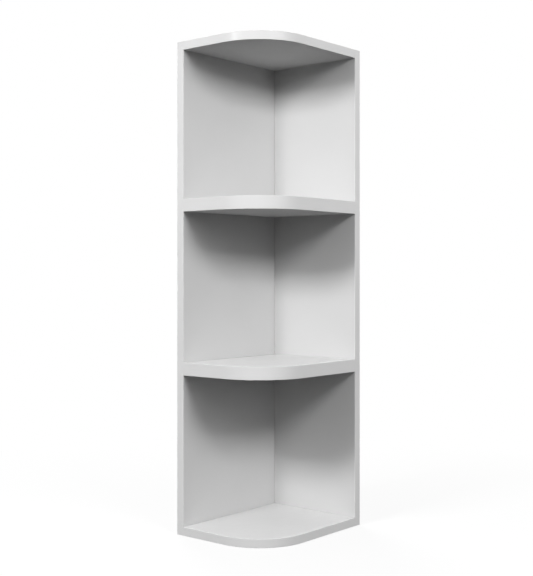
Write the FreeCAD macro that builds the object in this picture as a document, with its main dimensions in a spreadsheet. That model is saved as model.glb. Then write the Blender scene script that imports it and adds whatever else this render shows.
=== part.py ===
"""Corner shelf unit: two uprights, four round-cornered shelves, edgings, fasteners and hangers.

The frame is X along the wall, Y towards the wall and Z up, in millimetres, with the origin
under the middle of the unit. Every body is drawn from its own lowest corner and then placed.
"""
import FreeCAD
import Part
import Sketcher
import os

SIZES = {
    "unit_width": 218,
    "unit_depth": 282,
    "unit_height": 920,
    "board": 16,
    "thick_board": 24,
    "lower_room": 282,
    "middle_room": 281,
    "corner_radius": 100,
    "front_edging": 2,
    "thin_edging": 1,
    "arris": 0.8,
    "butt_chamfer": 0.5,
    "front_setback": 50,
    "rear_setback": 60,
    "screw_length": 50,
    "screw_width": 7,
    "screw_core": 4.8,
    "screw_head": 10,
    "screw_neck": 14,
    "screw_tip": 3,
    "screw_sink": 0.4,
    "screw_clearance": 0.1,
    "thread_pitch": 3,
    "socket_flats": 4,
    "socket_depth": 3.4,
    "dowel_width": 8,
    "dowel_length": 30,
    "dowel_in_panel": 10,
    "dowel_chamfer": 1,
    "dowel_flute": 0.3,
    "dowel_clearance": 0.05,
    "dowel_end_room": 0.5,
    "hanger_width": 20,
    "hanger_length": 60,
    "hanger_plate": 2,
    "hanger_clearance": 0.1,
    "hanger_drop": 80,
    "hanger_setback": 37,
    "keyhole_entry": 10,
    "keyhole_slot": 5.6,
    "keyhole_lift": 14,
    "keyhole_start": 6,
    "pocket_width": 13,
    "pocket_depth": 11,
    "small_screw_width": 3.5,
    "small_screw_length": 12,
    "small_screw_head": 7,
    "small_screw_tip": 3,
    "small_screw_clearance": 0.1,
    "small_screw_recess": 1.2,
    "small_screw_cross": 4,
    "small_screw_blade": 0.9,
}

doc = FreeCAD.newDocument("corner_shelf_unit")
sheet = doc.addObject("Spreadsheet::Sheet", "Sizes")
for row, (alias, size) in enumerate(SIZES.items(), start=1):
    sheet.set(f"A{row}", alias)
    sheet.set(f"B{row}", str(size))
    sheet.setAlias(f"B{row}", alias)
doc.recompute()

LEFT = "-Sizes.unit_width / 2"
FRONT = "-Sizes.unit_depth / 2"
INNER_LEFT = f"({LEFT} + Sizes.board)"
INNER_BACK = "(Sizes.unit_depth / 2 - Sizes.board)"
SHELF_WIDTH = "(Sizes.unit_width - Sizes.board)"
SHELF_DEPTH = "(Sizes.unit_depth - Sizes.board)"
LOWER_LEVEL = "(Sizes.board + Sizes.lower_room)"
MIDDLE_FLOOR = f"({LOWER_LEVEL} + Sizes.thick_board)"
UPPER_LEVEL = f"({MIDDLE_FLOOR} + Sizes.middle_room)"
UPPER_FLOOR = f"({UPPER_LEVEL} + Sizes.thick_board)"
TOP_LEVEL = "(Sizes.unit_height - Sizes.board)"

# Each shelf has a name, a thickness and the height of its underside.
SHELVES = [
    ("bottom_shelf", "Sizes.board", "0"),
    ("lower_shelf", "Sizes.thick_board", LOWER_LEVEL),
    ("upper_shelf", "Sizes.thick_board", UPPER_LEVEL),
    ("top_shelf", "Sizes.board", TOP_LEVEL),
]
SHELF_MIDDLES = [f"({level} + {thick} / 2)" for _, thick, level in SHELVES]
ROOM_MIDDLES = [
    f"((Sizes.board + {LOWER_LEVEL}) / 2)",
    f"(({MIDDLE_FLOOR} + {UPPER_LEVEL}) / 2)",
    f"(({UPPER_FLOOR} + {TOP_LEVEL}) / 2)",
]

# Fastener places, as distances from the inner corner along X and along Y.
BACK_SCREWS_X = ["Sizes.rear_setback", f"({SHELF_WIDTH} - Sizes.front_setback)"]
BACK_DOWEL_X = f"(({BACK_SCREWS_X[0]} + {BACK_SCREWS_X[1]}) / 2)"
SIDE_SCREWS_Y = ["Sizes.rear_setback", f"({SHELF_DEPTH} - Sizes.front_setback)"]
SIDE_DOWEL_Y = f"(({SIDE_SCREWS_Y[0]} + {SIDE_SCREWS_Y[1]}) / 2)"
HANGERS_X = {
    "left": "Sizes.hanger_setback",
    "right": f"({SHELF_WIDTH} - Sizes.hanger_setback)",
}
HANGER_LEVEL = "(Sizes.unit_height - Sizes.hanger_drop)"
HANGER_REACH = "(Sizes.hanger_length / 2 - Sizes.hanger_width / 2)"
KEYHOLE_TOP = "(Sizes.keyhole_lift - Sizes.keyhole_start)"

SCREW_BORE = "(Sizes.screw_width + 2 * Sizes.screw_clearance)"
SCREW_SEAT = "(Sizes.screw_head + 2 * Sizes.screw_sink)"
SCREW_REACH = "(Sizes.screw_length + Sizes.screw_sink - Sizes.board + Sizes.screw_clearance)"
DOWEL_BORE = "(Sizes.dowel_width + 2 * Sizes.dowel_clearance)"
DOWEL_PANEL_DEPTH = "(Sizes.dowel_in_panel + Sizes.dowel_end_room)"
DOWEL_SHELF_DEPTH = "(Sizes.dowel_length - Sizes.dowel_in_panel + Sizes.dowel_end_room)"
SMALL_BORE = "(Sizes.small_screw_width + 2 * Sizes.small_screw_clearance)"
SMALL_REACH = "(Sizes.small_screw_length + Sizes.small_screw_clearance)"

INTO_X = FreeCAD.Rotation(FreeCAD.Vector(0, 1, 0), -90)
INTO_MINUS_Y = FreeCAD.Rotation(FreeCAD.Vector(1, 0, 0), -90)

parts = []


def number(expression):
    """Value of a size expression."""
    return float(sheet.evalExpression(expression))


def bind(obj, **expressions):
    """Tie properties to size expressions; a double underscore stands for a dot."""
    for path, expression in expressions.items():
        obj.setExpression(path.replace("__", "."), expression)


def place(obj, x, y, z, turn=None):
    """Put an object at bound coordinates."""
    if turn is not None:
        obj.Placement = FreeCAD.Placement(FreeCAD.Vector(), turn)
    bind(obj, Placement__Base__x=x, Placement__Base__y=y, Placement__Base__z=z)


def new_body(label):
    """Empty body with its label."""
    body = doc.addObject("PartDesign::Body", label)
    body.Label = label
    return body


def plane_of(body, role):
    """Origin plane of a body, by its role."""
    return next(item for item in body.Origin.OriginFeatures if item.Role == role)


def new_sketch(body, name, role="XY_Plane", lift="0"):
    """Sketch on an origin plane of the body, lifted along the plane's normal."""
    sketch = body.newObject("Sketcher::SketchObject", name)
    sketch.AttachmentSupport = [(plane_of(body, role), "")]
    sketch.MapMode = "FlatFace"
    if lift != "0":
        bind(sketch, AttachmentOffset__Base__z=lift)
    return sketch


def add_constraint(sketch, expression, *terms):
    """Driving dimension of a sketch, bound to an expression."""
    index = sketch.addConstraint(Sketcher.Constraint(*terms, number(expression)))
    sketch.setExpression(f"Constraints[{index}]", expression)


def add_line(sketch, start, end):
    """Straight segment between two points given as numbers."""
    ends = [FreeCAD.Vector(*point, 0) for point in (start, end)]
    return sketch.addGeometry(Part.LineSegment(*ends), False)


def add_arc(sketch, centre, radius, first, last):
    """Circular arc between two angles in quarter turns."""
    quarter = 1.5707963267948966
    circle = Part.Circle(FreeCAD.Vector(*centre, 0), FreeCAD.Vector(0, 0, 1), radius)
    return sketch.addGeometry(Part.ArcOfCircle(circle, first * quarter, last * quarter), False)


def add_closed(sketch, points):
    """Closed run of straight segments through points given as numbers."""
    lines = [add_line(sketch, *ends) for ends in zip(points, points[1:] + points[:1])]
    for line, following in zip(lines, lines[1:] + lines[:1]):
        sketch.addConstraint(Sketcher.Constraint("Coincident", line, 2, following, 1))
    return lines


def add_rectangle(sketch, width, height):
    """Rectangle with one corner on the sketch origin."""
    wide, high = number(width), number(height)
    lines = add_closed(sketch, [(0, 0), (wide, 0), (wide, high), (0, high)])
    for line, kind in zip(lines, ("Horizontal", "Vertical", "Horizontal", "Vertical")):
        sketch.addConstraint(Sketcher.Constraint(kind, line))
    sketch.addConstraint(Sketcher.Constraint("Coincident", lines[0], 1, -1, 1))
    add_constraint(sketch, width, "DistanceX", lines[0], 1, lines[0], 2)
    add_constraint(sketch, height, "DistanceY", lines[1], 1, lines[1], 2)


def add_circles(sketch, places, diameter):
    """Equal circles at bound places."""
    first = None
    for x, y in places:
        centre = FreeCAD.Vector(number(x), number(y), 0)
        ring = Part.Circle(centre, FreeCAD.Vector(0, 0, 1), number(diameter) / 2)
        circle = sketch.addGeometry(ring, False)
        add_constraint(sketch, x, "DistanceX", -1, 1, circle, 3)
        add_constraint(sketch, y, "DistanceY", -1, 1, circle, 3)
        if first is None:
            first = circle
            add_constraint(sketch, diameter, "Diameter", circle)
        else:
            sketch.addConstraint(Sketcher.Constraint("Equal", first, circle))


def add_slot(sketch, x, low, high, width):
    """Upright slot with round ends, from the centre of one end to that of the other."""
    across, bottom, top = number(x), number(low), number(high)
    half = number(width) / 2
    upper = add_arc(sketch, (across, top), half, 0, 2)
    left = add_line(sketch, (across - half, top), (across - half, bottom))
    lower = add_arc(sketch, (across, bottom), half, 2, 4)
    right = add_line(sketch, (across + half, bottom), (across + half, top))
    for before, after in ((upper, left), (left, lower), (lower, right), (right, upper)):
        sketch.addConstraint(Sketcher.Constraint("Tangent", before, 2, after, 1))
    sketch.addConstraint(Sketcher.Constraint("Equal", upper, lower))
    add_constraint(sketch, f"{width} / 2", "Radius", upper)
    add_constraint(sketch, x, "DistanceX", -1, 1, upper, 3)
    add_constraint(sketch, x, "DistanceX", -1, 1, lower, 3)
    add_constraint(sketch, high, "DistanceY", -1, 1, upper, 3)
    add_constraint(sketch, low, "DistanceY", -1, 1, lower, 3)


def add_shelf_outline(sketch, width, depth, radius):
    """Board outline with its corner on the sketch origin and the far front corner rounded."""
    wide, deep, bend = number(width), number(depth), number(radius)
    front = add_line(sketch, (0, 0), (wide - bend, 0))
    corner = add_arc(sketch, (wide - bend, bend), bend, 3, 4)
    side = add_line(sketch, (wide, bend), (wide, deep))
    rear = add_line(sketch, (wide, deep), (0, deep))
    inner = add_line(sketch, (0, deep), (0, 0))
    sketch.addConstraint(Sketcher.Constraint("Tangent", front, 2, corner, 1))
    sketch.addConstraint(Sketcher.Constraint("Tangent", corner, 2, side, 1))
    for before, after in ((side, rear), (rear, inner), (inner, front)):
        sketch.addConstraint(Sketcher.Constraint("Coincident", before, 2, after, 1))
    for line, kind in ((front, "Horizontal"), (side, "Vertical"), (rear, "Horizontal")):
        sketch.addConstraint(Sketcher.Constraint(kind, line))
    sketch.addConstraint(Sketcher.Constraint("Coincident", front, 1, -1, 1))
    sketch.addConstraint(Sketcher.Constraint("PointOnObject", inner, 1, -2))
    add_constraint(sketch, width, "DistanceX", rear, 2, rear, 1)
    add_constraint(sketch, depth, "DistanceY", inner, 2, inner, 1)
    add_constraint(sketch, radius, "Radius", corner)


def add_strip_outline(sketch, width, depth, radius, strip):
    """Bent strip along the front, the rounded corner and the far side of a shelf outline."""
    wide, deep = number(width), number(depth)
    bend, thin = number(radius), number(strip)
    centre = (wide - bend, bend)
    front = add_line(sketch, (0, 0), (wide - bend, 0))
    outer = add_arc(sketch, centre, bend, 3, 4)
    side = add_line(sketch, (wide, bend), (wide, deep))
    side_end = add_line(sketch, (wide, deep), (wide - thin, deep))
    side_back = add_line(sketch, (wide - thin, deep), (wide - thin, bend))
    inner = add_arc(sketch, centre, bend - thin, 3, 4)
    front_back = add_line(sketch, (wide - bend, thin), (0, thin))
    front_end = add_line(sketch, (0, thin), (0, 0))
    sketch.addConstraint(Sketcher.Constraint("Tangent", front, 2, outer, 1))
    sketch.addConstraint(Sketcher.Constraint("Tangent", outer, 2, side, 1))
    sketch.addConstraint(Sketcher.Constraint("Tangent", side_back, 2, inner, 2))
    sketch.addConstraint(Sketcher.Constraint("Tangent", inner, 1, front_back, 1))
    for before, after in ((side, side_end), (side_end, side_back), (front_back, front_end),
                          (front_end, front)):
        sketch.addConstraint(Sketcher.Constraint("Coincident", before, 2, after, 1))
    for line, kind in ((front, "Horizontal"), (side, "Vertical"), (side_end, "Horizontal"),
                       (side_back, "Vertical"), (front_back, "Horizontal"),
                       (front_end, "Vertical")):
        sketch.addConstraint(Sketcher.Constraint(kind, line))
    sketch.addConstraint(Sketcher.Constraint("Coincident", front, 1, -1, 1))
    sketch.addConstraint(Sketcher.Constraint("Coincident", outer, 3, inner, 3))
    add_constraint(sketch, width, "DistanceX", -1, 1, side, 2)
    add_constraint(sketch, depth, "DistanceY", -1, 1, side, 2)
    add_constraint(sketch, radius, "Radius", outer)
    add_constraint(sketch, strip, "DistanceY", front_end, 2, front_end, 1)


def pad(body, sketch, length):
    """Pad of a sketch along its normal."""
    feature = body.newObject("PartDesign::Pad", f"{sketch.Name}_pad")
    feature.Profile = sketch
    bind(feature, Length=length)
    doc.recompute()
    return feature


def must_cut(body, before, feature):
    """Fail if a cutting feature took nothing away."""
    doc.recompute()
    if not body.Shape.Volume < before - 1e-6:
        raise RuntimeError(f"{feature.Name} cuts nothing")


def pocket(body, sketch, depth, reverse):
    """Blind pocket of a sketch."""
    before = body.Shape.Volume
    feature = body.newObject("PartDesign::Pocket", f"{sketch.Name}_pocket")
    feature.Profile = sketch
    feature.Reversed = reverse
    bind(feature, Length=depth)
    must_cut(body, before, feature)


def drill(body, sketch, bore, depth=None, seat=None):
    """Flat-ended holes along the sketch normal, right through when no depth is given."""
    doc.recompute()
    before = body.Shape.Volume
    feature = body.newObject("PartDesign::Hole", f"{sketch.Name}_drill")
    feature.Profile = sketch
    doc.recompute()
    feature.Reversed = True
    feature.DrillPoint = "Flat"
    bind(feature, Diameter=bore)
    if depth is None:
        feature.DepthType = "ThroughAll"
    else:
        bind(feature, Depth=depth)
    if seat is not None:
        feature.HoleCutType = "Countersink"
        feature.HoleCutCustomValues = True
        feature.HoleCutCountersinkAngle = 90
        bind(feature, HoleCutDiameter=seat)
    must_cut(body, before, feature)


def edge_names(shape, wanted):
    """Names of the edges of a shape that satisfy a test."""
    return [f"Edge{index}" for index, edge in enumerate(shape.Edges, start=1) if wanted(edge)]


def chamfer_edges(body, names):
    """Ease named edges of the body's last feature where a board butts against another."""
    base = body.Tip
    feature = body.newObject("PartDesign::Chamfer", f"{body.Name}_chamfer")
    feature.Base = (base, names)
    bind(feature, Size="Sizes.butt_chamfer")
    doc.recompute()


def round_edges(body, names):
    """Fillet named edges of the body's last feature to the arris radius."""
    base = body.Tip
    feature = body.newObject("PartDesign::Fillet", f"{body.Name}_fillet")
    feature.Base = (base, names)
    bind(feature, Radius="min(Sizes.arris; Sizes.front_edging * 0.9)")
    doc.recompute()


def box_body(label, width, depth, height):
    """Board or strip as a padded rectangle."""
    body = new_body(label)
    sketch = new_sketch(body, f"{label}_outline")
    add_rectangle(sketch, width, depth)
    pad(body, sketch, height)
    return body


def keep(obj):
    """Count an object among the parts to write."""
    parts.append(obj)
    return obj


def from_front(distance_from_inner_back):
    """Distance along Y from the unit's front of a place given from the inner corner."""
    return f"({SHELF_DEPTH} - {distance_from_inner_back})"


def make_side_panel():
    """Deep upright: countersunk screw holes right through and blind dowel holes inside."""
    body = box_body(
        "side_panel",
        "Sizes.board",
        "(Sizes.unit_depth - Sizes.front_edging - Sizes.thin_edging)",
        "(Sizes.unit_height - 2 * Sizes.thin_edging)",
    )
    place(body, LEFT, f"({FRONT} + Sizes.front_edging)", "Sizes.thin_edging")

    def spot(y, z):
        return f"({y} - Sizes.front_edging)", f"({z} - Sizes.thin_edging)"

    corner_y = f"({SHELF_DEPTH} + Sizes.board / 2)"
    screws = [spot(from_front(y), z) for z in SHELF_MIDDLES for y in SIDE_SCREWS_Y]
    screws += [spot(corner_y, z) for z in ROOM_MIDDLES]
    sketch = new_sketch(body, "side_panel_screw_places", "YZ_Plane")
    add_circles(sketch, screws, SCREW_BORE)
    drill(body, sketch, SCREW_BORE, seat=SCREW_SEAT)

    dowels = [spot(from_front(SIDE_DOWEL_Y), z) for z in SHELF_MIDDLES]
    dowels += [spot(corner_y, z) for z in SHELF_MIDDLES[1:3]]
    sketch = new_sketch(
        body, "side_panel_dowel_places", "YZ_Plane", f"(Sizes.board - {DOWEL_PANEL_DEPTH})"
    )
    add_circles(sketch, dowels, DOWEL_BORE)
    pocket(body, sketch, DOWEL_PANEL_DEPTH, True)
    return keep(body)


def make_back_panel():
    """Narrow upright: screw and dowel holes, end holes for the corner and hanger recesses."""
    body = box_body(
        "back_panel",
        f"({SHELF_WIDTH} - Sizes.front_edging)",
        "Sizes.board",
        "(Sizes.unit_height - 2 * Sizes.thin_edging)",
    )
    place(body, INNER_LEFT, INNER_BACK, "Sizes.thin_edging")
    chamfer_edges(body, edge_names(body.Shape, lambda edge: edge.BoundBox.XMax < 1e-6
                                   and edge.BoundBox.ZLength > edge.BoundBox.YLength))

    def spot(x, z):
        return x, f"({z} - Sizes.thin_edging)"

    rear = "-Sizes.board"
    sketch = new_sketch(body, "back_panel_screw_places", "XZ_Plane", rear)
    add_circles(sketch, [spot(x, z) for z in SHELF_MIDDLES for x in BACK_SCREWS_X], SCREW_BORE)
    drill(body, sketch, SCREW_BORE, seat=SCREW_SEAT)

    sketch = new_sketch(body, "back_panel_dowel_places", "XZ_Plane", f"-{DOWEL_PANEL_DEPTH}")
    add_circles(sketch, [spot(BACK_DOWEL_X, z) for z in SHELF_MIDDLES], DOWEL_BORE)
    pocket(body, sketch, DOWEL_PANEL_DEPTH, True)

    ends = [("Sizes.board / 2", f"({z} - Sizes.thin_edging)") for z in ROOM_MIDDLES]
    sketch = new_sketch(body, "back_panel_end_screws", "YZ_Plane")
    add_circles(sketch, ends, SCREW_BORE)
    drill(body, sketch, SCREW_BORE, SCREW_REACH)

    ends = [("Sizes.board / 2", f"({z} - Sizes.thin_edging)") for z in SHELF_MIDDLES[1:3]]
    sketch = new_sketch(body, "back_panel_end_dowels", "YZ_Plane")
    add_circles(sketch, ends, DOWEL_BORE)
    drill(body, sketch, DOWEL_BORE, DOWEL_SHELF_DEPTH)

    level = f"({HANGER_LEVEL} - Sizes.thin_edging)"
    for side, x in HANGERS_X.items():
        sketch = new_sketch(body, f"{side}_hanger_recess", "XZ_Plane", rear)
        width = "(Sizes.hanger_width + 2 * Sizes.hanger_clearance)"
        add_slot(sketch, x, f"({level} - {HANGER_REACH})", f"({level} + {HANGER_REACH})", width)
        pocket(body, sketch, "Sizes.hanger_plate", True)
        sketch = new_sketch(body, f"{side}_head_pocket", "XZ_Plane", rear)
        low = f"({level} - Sizes.keyhole_start)"
        add_slot(sketch, x, low, f"({level} + {KEYHOLE_TOP})", "Sizes.pocket_width")
        pocket(body, sketch, "Sizes.pocket_depth", True)
        sketch = new_sketch(body, f"{side}_hanger_screw_places", "XZ_Plane", rear)
        ends = [(x, f"({level} {sign} {HANGER_REACH})") for sign in "-+"]
        add_circles(sketch, ends, SMALL_BORE)
        pocket(body, sketch, SMALL_REACH, True)
    return keep(body)


def make_panel_edgings():
    """Straight strips on the cut edges of both uprights."""
    side = box_body(
        "side_panel_front_edging", "Sizes.board", "Sizes.front_edging", "Sizes.unit_height"
    )
    place(side, LEFT, FRONT, "0")
    names = edge_names(side.Shape, lambda edge: edge.BoundBox.YMax < 1e-6
                       and edge.BoundBox.ZLength > edge.BoundBox.XLength)
    round_edges(side, names)
    keep(side)

    back = box_body(
        "back_panel_front_edging", "Sizes.front_edging", "Sizes.board", "Sizes.unit_height"
    )
    place(back, "(Sizes.unit_width / 2 - Sizes.front_edging)", INNER_BACK, "0")
    outer = number("Sizes.front_edging") - 1e-6
    names = edge_names(back.Shape, lambda edge: edge.BoundBox.XMin > outer
                       and edge.BoundBox.ZLength > edge.BoundBox.YLength)
    round_edges(back, names)
    keep(back)

    run = "(Sizes.unit_depth - Sizes.front_edging - Sizes.thin_edging)"
    rear = box_body("side_panel_rear_edging", "Sizes.board", "Sizes.thin_edging",
                    "Sizes.unit_height")
    place(rear, LEFT, "(Sizes.unit_depth / 2 - Sizes.thin_edging)", "0")
    keep(rear)
    for end, level in (("top", "(Sizes.unit_height - Sizes.thin_edging)"), ("bottom", "0")):
        strip = box_body(f"side_panel_{end}_edging", "Sizes.board", run, "Sizes.thin_edging")
        place(strip, LEFT, f"({FRONT} + Sizes.front_edging)", level)
        keep(strip)
        strip = box_body(f"back_panel_{end}_edging", f"({SHELF_WIDTH} - Sizes.front_edging)",
                         "Sizes.board", "Sizes.thin_edging")
        place(strip, INNER_LEFT, INNER_BACK, level)
        keep(strip)


def make_shelf(label, thick, level):
    """Shelf board with screw and dowel holes in its two butted edges."""
    body = new_body(label)
    width = f"({SHELF_WIDTH} - Sizes.front_edging)"
    depth = f"({SHELF_DEPTH} - Sizes.front_edging)"
    sketch = new_sketch(body, f"{label}_outline")
    add_shelf_outline(sketch, width, depth, "(Sizes.corner_radius - Sizes.front_edging)")
    pad(body, sketch, thick)
    place(body, INNER_LEFT, f"({FRONT} + Sizes.front_edging)", level)
    rear = number(depth) - 1e-6
    chamfer_edges(body, edge_names(body.Shape, lambda edge: edge.BoundBox.ZLength < 1e-6
                                   and (edge.BoundBox.XMax < 1e-6 or edge.BoundBox.YMin > rear)))

    middle = f"{thick} / 2"
    ends = [(f"({from_front(y)} - Sizes.front_edging)", middle) for y in SIDE_SCREWS_Y]
    sketch = new_sketch(body, f"{label}_side_screw_places", "YZ_Plane")
    add_circles(sketch, ends, SCREW_BORE)
    drill(body, sketch, SCREW_BORE, SCREW_REACH)
    sketch = new_sketch(body, f"{label}_side_dowel_place", "YZ_Plane")
    ends = [(f"({from_front(SIDE_DOWEL_Y)} - Sizes.front_edging)", middle)]
    add_circles(sketch, ends, DOWEL_BORE)
    drill(body, sketch, DOWEL_BORE, DOWEL_SHELF_DEPTH)
    sketch = new_sketch(body, f"{label}_back_screw_places", "XZ_Plane", f"-{depth}")
    add_circles(sketch, [(x, middle) for x in BACK_SCREWS_X], SCREW_BORE)
    drill(body, sketch, SCREW_BORE, SCREW_REACH)
    sketch = new_sketch(body, f"{label}_back_dowel_place", "XZ_Plane", f"-{depth}")
    add_circles(sketch, [(BACK_DOWEL_X, middle)], DOWEL_BORE)
    drill(body, sketch, DOWEL_BORE, DOWEL_SHELF_DEPTH)
    return keep(body)


def make_shelf_edging(label, thick, level):
    """Strip bent round a shelf, with both outer arrises rounded."""
    body = new_body(f"{label}_edging")
    sketch = new_sketch(body, f"{label}_strip")
    add_strip_outline(
        sketch, SHELF_WIDTH, SHELF_DEPTH, "Sizes.corner_radius", "Sizes.front_edging"
    )
    pad(body, sketch, thick)
    place(body, INNER_LEFT, FRONT, level)
    wide, bend = number(SHELF_WIDTH), number("Sizes.corner_radius")

    def outer(edge):
        box = edge.BoundBox
        middle = edge.valueAt((edge.FirstParameter + edge.LastParameter) / 2)
        reach = (middle - FreeCAD.Vector(wide - bend, bend, middle.z)).Length
        on_front = box.YMax < 1e-6
        on_side = box.XMin > wide - 1e-6
        on_bend = abs(reach - bend) < 1e-6
        return box.ZLength < 1e-6 and (on_front or on_side or on_bend)

    round_edges(body, edge_names(body.Shape, outer))
    return keep(body)


def turned_body(label, profile):
    """Body turned round Z from a closed profile of (radius, height) expressions."""
    body = new_body(label)
    sketch = new_sketch(body, f"{label}_profile", "XZ_Plane")
    points = [tuple(number(term) for term in point) for point in profile]
    lines = add_closed(sketch, points)
    for line, (radius, height) in zip(lines, profile):
        if radius == "0":
            sketch.addConstraint(Sketcher.Constraint("PointOnObject", line, 1, -2))
        else:
            add_constraint(sketch, radius, "DistanceX", -1, 1, line, 1)
        if height == "0":
            sketch.addConstraint(Sketcher.Constraint("PointOnObject", line, 1, -1))
        else:
            add_constraint(sketch, height, "DistanceY", -1, 1, line, 1)
    feature = body.newObject("PartDesign::Revolution", f"{label}_turned")
    feature.Profile = sketch
    feature.ReferenceAxis = (sketch, ["V_Axis"])
    feature.Angle = 360
    doc.recompute()
    return body


def make_connecting_screw():
    """One-piece connecting screw, head upwards at height 0, with ring grooves for its thread."""
    half = "Sizes.screw_width / 2"
    body = turned_body("connecting_screw", [
        ("0", "0"),
        ("Sizes.screw_head / 2", "0"),
        (half, f"-(Sizes.screw_head / 2 - {half})"),
        (half, "-(Sizes.screw_length - Sizes.screw_tip)"),
        ("Sizes.screw_core / 4", "-Sizes.screw_length"),
        ("0", "-Sizes.screw_length"),
    ])
    sketch = new_sketch(body, "thread_groove", "XZ_Plane")
    top = "-Sizes.screw_neck"
    low = "-(Sizes.screw_neck + Sizes.thread_pitch * 0.8)"
    deep = "-(Sizes.screw_neck + Sizes.thread_pitch * 0.4)"
    outside, inside = f"({half} + 0.2)", "Sizes.screw_core / 2"
    corners = [(outside, top), (inside, deep), (outside, low)]
    points = [tuple(number(term) for term in point) for point in corners]
    for line, (radius, height) in zip(add_closed(sketch, points), corners):
        add_constraint(sketch, radius, "DistanceX", -1, 1, line, 1)
        add_constraint(sketch, height, "DistanceY", -1, 1, line, 1)
    before = body.Shape.Volume
    groove = body.newObject("PartDesign::Groove", "thread_ring")
    groove.Profile = sketch
    groove.ReferenceAxis = (sketch, ["V_Axis"])
    groove.Angle = 360
    must_cut(body, before, groove)
    before = body.Shape.Volume
    rows = body.newObject("PartDesign::LinearPattern", "thread_rings")
    rows.Originals = [groove]
    rows.Direction = (sketch, ["V_Axis"])
    rows.Reversed = True
    run = "(Sizes.screw_length - Sizes.screw_tip - Sizes.screw_neck)"
    count = f"floor({run} / Sizes.thread_pitch)"
    bind(rows, Occurrences=count, Length=f"({count} - 1) * Sizes.thread_pitch")
    body.Tip = rows
    must_cut(body, before, rows)
    before = body.Shape.Volume
    socket = body.newObject("PartDesign::SubtractivePrism", "hexagon_socket")
    socket.AttachmentSupport = [(plane_of(body, "XY_Plane"), "")]
    socket.MapMode = "FlatFace"
    socket.Polygon = 6
    bind(socket, Circumradius="Sizes.socket_flats / sqrt(3)", Height="Sizes.socket_depth",
         AttachmentOffset__Base__z="-Sizes.socket_depth")
    must_cut(body, before, socket)
    return body


def make_small_screw():
    """Countersunk screw for the hanger plates, head upwards at height 0, with a cross recess."""
    half = "Sizes.small_screw_width / 2"
    body = turned_body("small_screw", [
        ("0", "0"),
        ("Sizes.small_screw_head / 2", "0"),
        (half, f"-(Sizes.small_screw_head / 2 - {half})"),
        (half, "-(Sizes.small_screw_length - Sizes.small_screw_tip)"),
        ("0", "-Sizes.small_screw_length"),
    ])
    long, thin = "Sizes.small_screw_cross", "Sizes.small_screw_blade"
    for name, width, depth in (("cross_one", long, thin), ("cross_two", thin, long)):
        before = body.Shape.Volume
        blade = body.newObject("PartDesign::SubtractiveBox", name)
        blade.AttachmentSupport = [(plane_of(body, "XY_Plane"), "")]
        blade.MapMode = "FlatFace"
        bind(blade, Length=width, Width=depth, Height="Sizes.small_screw_recess",
             AttachmentOffset__Base__x=f"-{width} / 2",
             AttachmentOffset__Base__y=f"-{depth} / 2",
             AttachmentOffset__Base__z="-Sizes.small_screw_recess")
        must_cut(body, before, blade)
    return body


def make_dowel():
    """Fluted dowel standing downwards from height 0, with chamfered ends."""
    half = "Sizes.dowel_width / 2"
    neck = f"({half} - Sizes.dowel_chamfer)"
    body = turned_body("dowel", [
        ("0", "0"),
        (neck, "0"),
        (half, "-Sizes.dowel_chamfer"),
        (half, "-(Sizes.dowel_length - Sizes.dowel_chamfer)"),
        (neck, "-Sizes.dowel_length"),
        ("0", "-Sizes.dowel_length"),
    ])
    before = body.Shape.Volume
    flute = body.newObject("PartDesign::SubtractiveCylinder", "flute")
    flute.AttachmentSupport = [(plane_of(body, "XY_Plane"), "")]
    flute.MapMode = "FlatFace"
    bind(flute, Radius="2 * Sizes.dowel_flute", Height="Sizes.dowel_length",
         AttachmentOffset__Base__x=f"({half} + Sizes.dowel_flute)",
         AttachmentOffset__Base__z="-Sizes.dowel_length")
    must_cut(body, before, flute)
    before = body.Shape.Volume
    ring = body.newObject("PartDesign::PolarPattern", "flutes")
    ring.Originals = [flute]
    ring.Axis = (plane_of(body, "Z_Axis"), [""])
    ring.Angle = 360
    ring.Occurrences = 12
    body.Tip = ring
    must_cut(body, before, ring)
    return body


def make_hanger_plate(side, x):
    """Round-ended steel plate with a keyhole and two countersunk holes, facing the wall."""
    body = new_body(f"{side}_hanger_plate")
    sketch = new_sketch(body, f"{side}_plate_outline", "XZ_Plane")
    half = "Sizes.hanger_width / 2"
    low, high = half, f"({half} + 2 * {HANGER_REACH})"
    middle = f"({half} + {HANGER_REACH})"
    add_slot(sketch, half, low, high, "Sizes.hanger_width")
    plate = pad(body, sketch, "Sizes.hanger_plate")
    plate.Reversed = True
    doc.recompute()
    rear = "-Sizes.hanger_plate"
    entry = f"({middle} - Sizes.keyhole_start)"
    sketch = new_sketch(body, f"{side}_keyhole_entry", "XZ_Plane", rear)
    add_circles(sketch, [(half, entry)], "Sizes.keyhole_entry")
    drill(body, sketch, "Sizes.keyhole_entry")
    sketch = new_sketch(body, f"{side}_keyhole_slot", "XZ_Plane", rear)
    add_slot(sketch, half, entry, f"({middle} + {KEYHOLE_TOP})", "Sizes.keyhole_slot")
    pocket(body, sketch, "Sizes.hanger_plate", True)
    sketch = new_sketch(body, f"{side}_plate_screw_places", "XZ_Plane", rear)
    seat = "(Sizes.small_screw_head + 2 * Sizes.small_screw_clearance)"
    add_circles(sketch, [(half, low), (half, high)], SMALL_BORE)
    drill(body, sketch, SMALL_BORE, seat=seat)
    place(
        body,
        f"({INNER_LEFT} + {x} - {half})",
        "(Sizes.unit_depth / 2 - Sizes.hanger_plate)",
        f"({HANGER_LEVEL} - {middle})",
    )
    return keep(body)


def make_group(label, source, places, turn):
    """Compound of copies of one fastener at bound places."""
    copies = []
    for index, place_of_copy in enumerate(places, start=1):
        copy = doc.addObject("App::Link", f"{label}_{index}")
        copy.LinkedObject = source
        place(copy, *place_of_copy, turn)
        copies.append(copy)
    group = doc.addObject("Part::Compound", label)
    group.Label = label
    group.Links = copies
    doc.recompute()
    return keep(group)


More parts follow.
